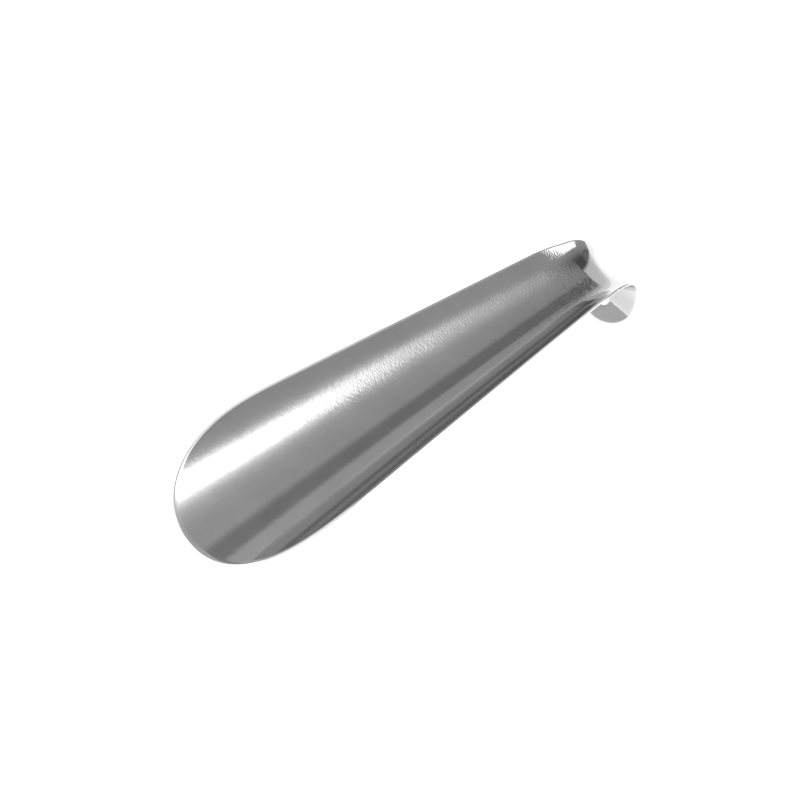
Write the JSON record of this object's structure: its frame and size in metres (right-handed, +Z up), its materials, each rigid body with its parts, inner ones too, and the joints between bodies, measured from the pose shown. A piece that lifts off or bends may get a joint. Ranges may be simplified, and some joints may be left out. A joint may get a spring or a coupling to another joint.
{
  "type": "shoehorn",
  "caption": "Hand-length shoehorn pressed from sheet steel, with a rounded blade, a tapering trough and a saddle-shaped hook that ends in a round tab with a hanging hole.",
  "frame": {"origin": "centre of the base, on the surface that the part rests on", "axes": "+X along the trough from the blade's tip to the hook, +Y across it, +Z up out of the hollow"},
  "size_m": [0.1524, 0.0462, 0.025],
  "materials": {
    "bright_steel": "bright nickel-plated sheet, finely grained"
  },
  "bodies": {
    "root": {"shoehorn_pressing": "bright_steel"}
  },
  "joints": []
}
